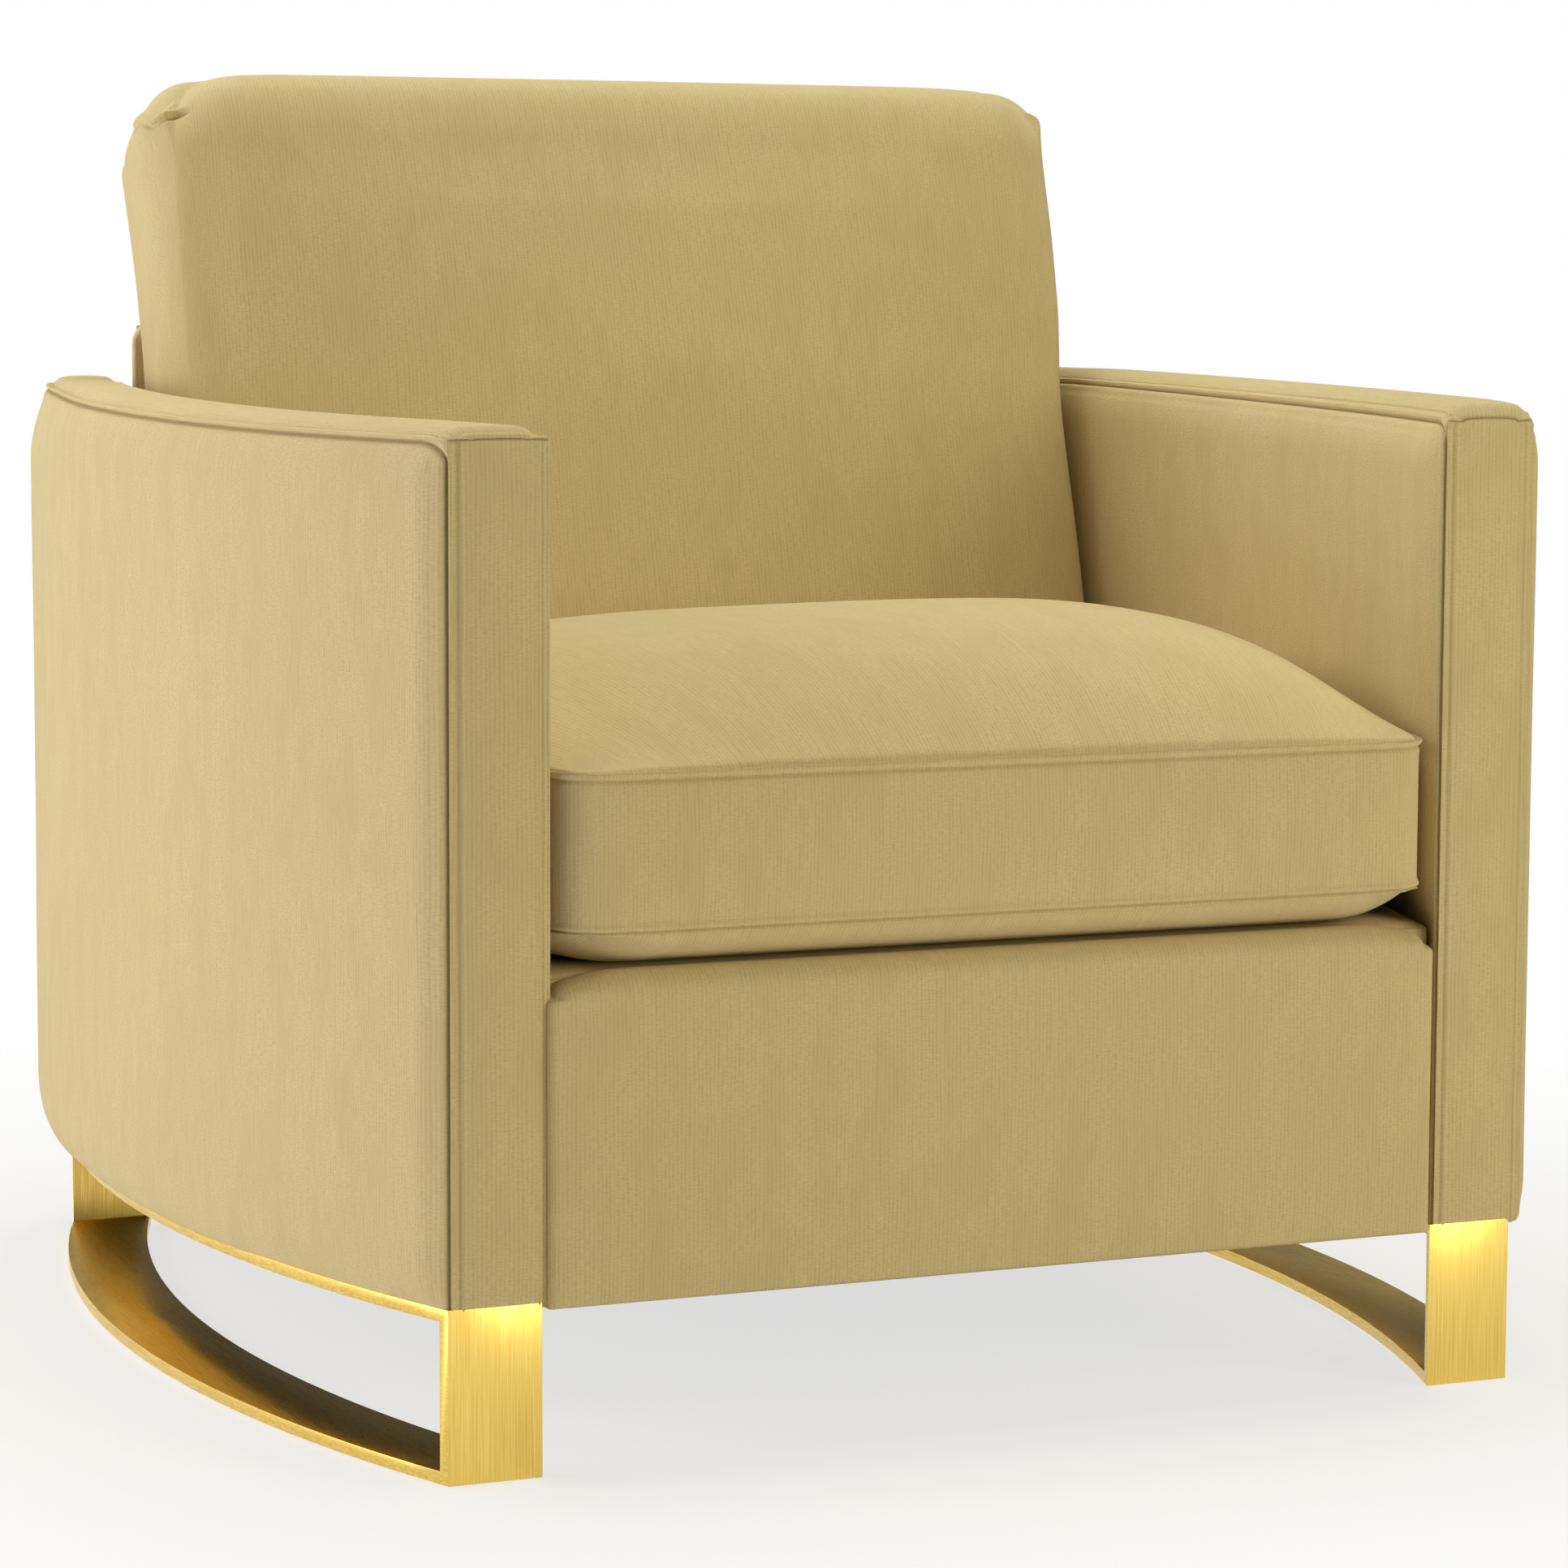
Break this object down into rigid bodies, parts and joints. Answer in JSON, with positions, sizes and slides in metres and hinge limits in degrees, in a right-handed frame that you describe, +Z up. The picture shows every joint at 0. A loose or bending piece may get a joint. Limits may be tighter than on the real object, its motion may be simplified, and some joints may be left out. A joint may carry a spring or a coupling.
{
  "type": "lounge chair",
  "caption": "Upholstered lounge chair with bowed arms on closed brass sled loops, a lift-out seat cushion and a lift-out leaning back cushion.",
  "frame": {"origin": "on the floor, midway between the arms and midway between the seat cushion's front face and the arms' rear ends", "axes": "+Z up from the floor, +X to the sitter's left hand seen from the front as the right side, -Y towards the front of the chair"},
  "size_m": [0.9038, 0.912, 0.861],
  "materials": {
    "upholstery": "ribbed slub weave, matte, straw yellow",
    "brass": "polished",
    "foam": "open-cell foam with a fibre wrap",
    "timber": "sawn softwood",
    "plywood": "sanded sheet",
    "zinc_steel": "zinc plated",
    "zip_metal": "satin",
    "zip_tape": "woven tape",
    "nylon": "matte",
    "black_cloth": "non-woven cloth",
    "webbing": "elastic webbing"
  },
  "bodies": {
    "chair_frame": {"left_brass_loop": "brass", "right_brass_loop": "brass", "floor_glides": "nylon", "loop_screws": "zinc_steel", "tee_nuts": "zinc_steel", "left_arm_bottom_rail": "timber", "right_arm_bottom_rail": "timber", "left_arm_top_rail": "timber", "right_arm_top_rail": "timber", "left_arm_front_post": "timber", "right_arm_front_post": "timber", "left_arm_bolt_posts": "timber", "right_arm_bolt_posts": "timber", "left_arm_rear_post": "timber", "right_arm_rear_post": "timber", "left_arm_outer_skin": "plywood", "right_arm_outer_skin": "plywood", "left_arm_inner_skin": "plywood", "right_arm_inner_skin": "plywood", "left_arm_padding": "foam", "right_arm_padding": "foam", "left_arm_outer_cover": "upholstery", "right_arm_outer_cover": "upholstery", "left_arm_inner_cover": "upholstery", "right_arm_inner_cover": "upholstery", "left_arm_top_strip": "upholstery", "right_arm_top_strip": "upholstery", "left_arm_front_facing": "upholstery", "right_arm_front_facing": "upholstery", "arm_bolts": "zinc_steel", "arm_bolt_washers": "zinc_steel", "seat_front_rail": "timber", "seat_back_rail": "timber", "seat_left_rail": "timber", "seat_right_rail": "timber", "seat_corner_blocks": "timber", "seat_springs": "zinc_steel", "spring_clips": "zinc_steel", "deck_pad": "foam", "deck_cloth": "upholstery", "front_panel_pad": "foam", "front_panel_cover": "upholstery", "dust_cover": "black_cloth", "back_left_stile": "plywood", "back_right_stile": "plywood", "back_top_rail": "timber", "back_lumbar_rail": "timber", "back_straps": "webbing", "back_padding": "foam", "back_inside_cover": "upholstery", "back_board": "plywood", "back_outside_cover": "upholstery"},
    "seat_cushion": {"seat_cushion_core": "foam", "seat_cushion_cover": "upholstery", "seat_zip_tape": "zip_tape"},
    "back_cushion": {"back_cushion_core": "foam", "back_cushion_cover": "upholstery", "back_zip_tape": "zip_tape"},
    "seat_cushion_zip": {"seat_zip_slider": "zip_metal"},
    "back_cushion_zip": {"back_zip_slider": "zip_metal"}
  },
  "joints": [
    {"name": "seat_cushion_lift", "type": "slide", "parent": "chair_frame", "child": "seat_cushion", "axis": [0, 0, 1], "range_m": [0, 0.36]},
    {"name": "back_cushion_lift", "type": "slide", "parent": "chair_frame", "child": "back_cushion", "axis": [0, 0, 1], "range_m": [0, 0.36]},
    {"name": "seat_zip_slide", "type": "slide", "parent": "seat_cushion", "child": "seat_cushion_zip", "axis": [1, 0, 0], "range_m": [-0.46, 0]},
    {"name": "back_zip_slide", "type": "slide", "parent": "back_cushion", "child": "back_cushion_zip", "axis": [1, 0, 0], "range_m": [-0.46, 0]}
  ]
}
